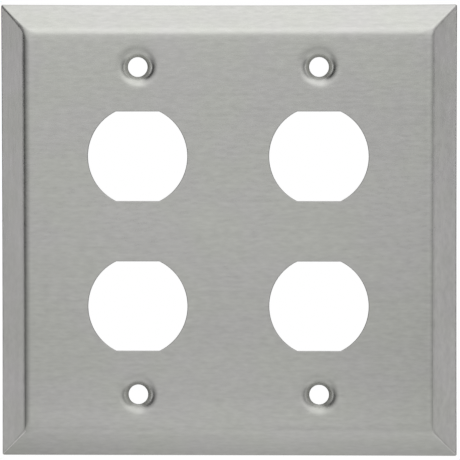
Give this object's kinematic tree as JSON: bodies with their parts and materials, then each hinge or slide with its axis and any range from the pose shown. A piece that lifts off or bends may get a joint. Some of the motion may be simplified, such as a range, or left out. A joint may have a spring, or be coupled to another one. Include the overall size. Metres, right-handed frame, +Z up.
{
  "type": "wall plate cover",
  "caption": "Flat double-gang stainless wall plate with bevelled rim, dimpled screw holes, double-D connector openings and a foam wall gasket behind.",
  "frame": {"origin": "centre of the plate on the wall plane", "axes": "+X to the right and +Z up as seen from the front, +Y into the wall, so the front faces -Y"},
  "size_m": [0.116, 0.0056, 0.115],
  "materials": {
    "brushed_stainless": "fine straight brushing, sheared edges bright",
    "black_foam": "matt closed-cell foam, die-cut"
  },
  "bodies": {
    "root": {"faceplate": "brushed_stainless", "foam_gasket": "black_foam"}
  },
  "joints": []
}
